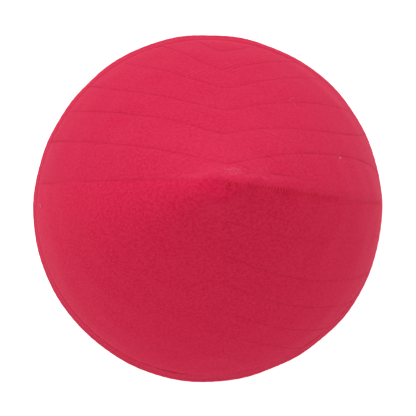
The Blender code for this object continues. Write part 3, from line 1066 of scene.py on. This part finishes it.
def runningStitches(name):
    look = seamStitches[name]
    line = stitchLines["back", look["hand"], 0]
    count = int((line["run"][-1] - seamStitches["lastRoom"]) / quilt["stitch"])
    run = seamStitches["first"] + np.arange(count) * quilt["stitch"]
    along = np.interp(run, line["run"], line["along"])
    starts = np.stack([along, np.full(count, look["away"])], axis=1)
    ends = starts + [look["length"], 0]
    lift = look["lift"] + dipping(threads["dive"], alongStitch)
    paths, normals = crossing(look["hand"], starts, ends, alongStitch, lift)
    return threadMesh(name, paths, normals, threads["radius"], quiltingThread)


leftSeam = runningStitches("left_seam_stitching")
lapEdge = runningStitches("lap_edge_stitching")

# The hem's two rows of stitches
hemRows = {
    "hem_stitching": {"height": cap["hemHeight"], "depth": 0.00016},
    "hem_edge_stitching": {"height": hem["line"], "depth": 0.00020},
    "length": 0.0021,
}


def hemStitches(name):
    look = hemRows[name]
    count = int(2 * math.pi * cap["rimRadius"] / hem["stitch"])
    pitch = 2 * math.pi / count
    azimuth = np.arange(count)[:, None] * pitch + alongStitch * hemRows["length"] / cap["rimRadius"]
    slant = slantAt(look["height"]) + np.zeros_like(azimuth)
    # They sink into the nap where the tuck is slack
    slack = threads["nap"] * (1 - tuckFirmness(azimuth))
    path = skin(azimuth, slant, dipping(threads["dive"], alongStitch) - look["depth"] - slack)
    return threadMesh(name, path, skinNormal(azimuth, slant), threads["radius"], quiltingThread)


hemUpper = hemStitches("hem_stitching")
hemLower = hemStitches("hem_edge_stitching")


# Loose ends at the tip, and lint on the felt

looseEnds = {"rise": 0.00005, "dip": 0.0001, "tipRadius": 0.00012, "lintLift": 0.0003}


def surfacePath(start, end, bow, lift, steps):
    # A thread that lies on the cap between two places over the floor, bowed sideways
    heading = np.array([end[0] - start[0], end[1] - start[1]])
    across = np.array([-heading[1], heading[0]])
    path, normals = [], []
    for share in np.linspace(0, 1, steps):
        arch = math.sin(math.pi * share)
        azimuth, slant = placeAt(*(np.array(start) + heading * share + across * bow * arch))
        rise = lift * arch - looseEnds["dip"] * (1 - arch) + looseEnds["rise"]
        path.append(skin(azimuth, slant, rise))
        normals.append(skinNormal(azimuth, slant))
    return path, normals


def fibrePath(middle, heading, length, bow, lift, steps):
    half = length / 2 * np.array([math.cos(heading), math.sin(heading)])
    return surfacePath(middle - half, middle + half, bow, lift, steps)


# Stitches that close the tip, in millimetres from it over the floor, with bow and lift
tipStitches = [
    ((-3.1, 0.9), (-2.2, 0.5), 0.15, 0.16),
    ((-1.9, 0.4), (-0.9, 0.1), -0.2, 0.14),
    ((0.1, -0.2), (0.8, -0.9), 0.2, 0.16),
    ((0.7, -1.3), (1.5, -1.6), 0.25, 0.16),
    ((1.2, 0.3), (2.2, 0.4), 0.1, 0.12),
    ((3.0, 0.3), (4.0, 0.3), -0.1, 0.12),
    ((4.8, 0.2), (5.8, 0.1), 0.1, 0.12),
]
strands = []
for start, end, bow, lift in tipStitches:
    strands.append(surfacePath(besideTip(*start), besideTip(*end), bow, lift / 1000, steps=8))
tipPiece = threadMesh("tip_stitches", *zip(*strands), looseEnds["tipRadius"], tipThread, sides=6)

# Fibres rubbed loose beside the tip
tuft = {
    "count": 44,
    "spread": 0.0018,
    "narrow": (1, 0.45),
    "heading": (-0.7, 0.7),
    "length": 0.0016,
    "unevenLength": (0.5, 1.2),
    "bow": (-0.3, 0.3),
    "lift": (0.0001, 0.0005),
    "radius": 0.000016,
}
tuftMiddle = skin(tuftPlace["azimuth"], tuftPlace["slant"])[:2]
strands = []
for _ in range(tuft["count"]):
    middle = tuftMiddle + rng.normal(0, tuft["spread"], 2) * tuft["narrow"]
    heading = rng.uniform(*tuft["heading"])
    length = tuft["length"] * rng.uniform(*tuft["unevenLength"])
    bow = rng.uniform(*tuft["bow"])
    lift = rng.uniform(*tuft["lift"])
    strands.append(fibrePath(middle, heading, length, bow, lift, steps=5))
tuftPiece = threadMesh("loose_fibres", *zip(*strands), tuft["radius"], lintFibre, sides=4)

# Lint that lies on the felt: azimuth, slant, heading over the floor, length, bow and radius
lint = [
    (18.6, 0.0919, 60, 0.0009, 0.2, 0.00024),
    (18.4, 0.0922, 150, 0.0006, 0.1, 0.00024),
    (180.4, 0.1607, -65, 0.0022, 0.1, 0.00024),
    (52.6, 0.1074, 35, 0.0046, 0.12, 0.000028),
    (50.2, 0.1040, -50, 0.0060, -0.1, 0.000028),
    (48.2, 0.0585, -45, 0.0050, 0.08, 0.000028),
    (327.8, 0.1678, 10, 0.0012, 0.2, 0.00024),
]
strands, lintRadii = [], []
for azimuth, slant, heading, length, bow, radius in lint:
    middle = skin(math.radians(azimuth), slant)[:2]
    strands.append(fibrePath(middle, math.radians(heading), length, bow, looseEnds["lintLift"], steps=7))
    lintRadii.append([radius])
lintPiece = threadMesh("lint", *zip(*strands), lintRadii, lintFibre)
# Floor, light and camera

stage = {
    "floorSize": 3.0,
    "floorHeight": -0.0001,
    "sky": (1.0, 0.76, 0.82, 1),
    "skyStrength": 0.76,
    "wall": (0.90, 0.90, 0.89, 1),
    "dimAzimuth": math.radians(318),
    "dimHeight": -0.6,
    "dimFrom": 0.2,
    "dimTo": 0.66,
    "keyAzimuth": math.radians(108),
    "keyElevation": math.radians(61),
    "keyDistance": 1.6,
    "keySize": 1.0,
    "keyPower": 11.0,
    "keyColour": (0.90, 1.16, 1.12),
    "keyTowards": Vector((0, 0, 0.08)),
}

floorMaterial, tree, shader, place = startMaterial("pale floor")
cloud = noise(tree, place, {"Scale": 2})
fill(tree, shader, {
    "Base Color": mixColour(tree, cloud, (0.92, 0.92, 0.92, 1), (0.95, 0.95, 0.95, 1)),
    "Roughness": 0.9,
    "Specular IOR Level": 0.1,
    "Emission Color": (1, 1, 1, 1),
    "Emission Strength": 0.6,
})
half = stage["floorSize"] / 2
floorMesh = bpy.data.meshes.new("floor")
floorCorners = [(-half, -half, 0), (half, -half, 0), (half, half, 0), (-half, half, 0)]
floorMesh.from_pydata(floorCorners, [], [(0, 1, 2, 3)])
floorMesh.materials.append(floorMaterial)
floor = addThing("floor", floorMesh)
floor.location.z = stage["floorHeight"]

world = bpy.data.worlds.new("soft room")
world.use_nodes = True
sky = world.node_tree
background = sky.nodes["Background"]
# The room is dimmer low down on the side away from the window
facing = addNode(sky, "TexCoord").outputs["Generated"]
dimmest = (math.cos(stage["dimAzimuth"]), math.sin(stage["dimAzimuth"]), stage["dimHeight"])
lookedAt = addNode(sky, "VectorMath", {0: facing, 1: dimmest}, operation="DOT_PRODUCT").outputs["Value"]
dimming = {"Value": lookedAt, "From Min": stage["dimFrom"], "To Min": 1.0, "To Max": stage["dimTo"]}
dimShare = addNode(sky, "MapRange", dimming).outputs[0]
fill(sky, background, {"Color": stage["sky"], "Strength": multiply(sky, dimShare, stage["skyStrength"])})
# Beyond the floor the wall itself looks plain and pale
wall = addNode(sky, "Background", {"Color": stage["wall"], "Strength": 1.0}).outputs[0]
seen = addNode(sky, "LightPath").outputs["Is Camera Ray"]
shown = addNode(sky, "MixShader", {0: seen, 1: background.outputs[0], 2: wall}).outputs[0]
fill(sky, sky.nodes["World Output"], {"Surface": shown})
bpy.context.scene.world = world

keyData = bpy.data.lights.new("key", "AREA")
keyData.shape = "DISK"
keyData.size = stage["keySize"]
keyData.energy = stage["keyPower"]
keyData.color = stage["keyColour"]
key = addThing("key", keyData)
across = stage["keyDistance"] * math.cos(stage["keyElevation"])
key.location = (
    across * math.cos(stage["keyAzimuth"]),
    across * math.sin(stage["keyAzimuth"]),
    stage["keyDistance"] * math.sin(stage["keyElevation"]),
)
key.rotation_euler = (stage["keyTowards"] - key.location).to_track_quat("-Z", "Y").to_euler()

# A near camera, nearly straight over the tip
view = {"at": Vector((-0.0127, -0.01306, 0.420)), "towards": Vector((-0.00065, -0.0007, 0)), "lens": 66.52}
cameraData = bpy.data.cameras.new("camera")
cameraData.lens = view["lens"]
cameraData.clip_start = 0.01
camera = addThing("camera", cameraData)
forward = (view["towards"] - view["at"]).normalized()
right = forward.cross(Vector((0, 1, 0))).normalized()
upward = right.cross(forward)
turned = Matrix((right, upward, -forward)).transposed()
camera.matrix_world = Matrix.Translation(view["at"]) @ turned.to_4x4()
bpy.context.scene.camera = camera
bpy.context.scene.view_settings.view_transform = "Standard"
print("stage, light and camera placed")
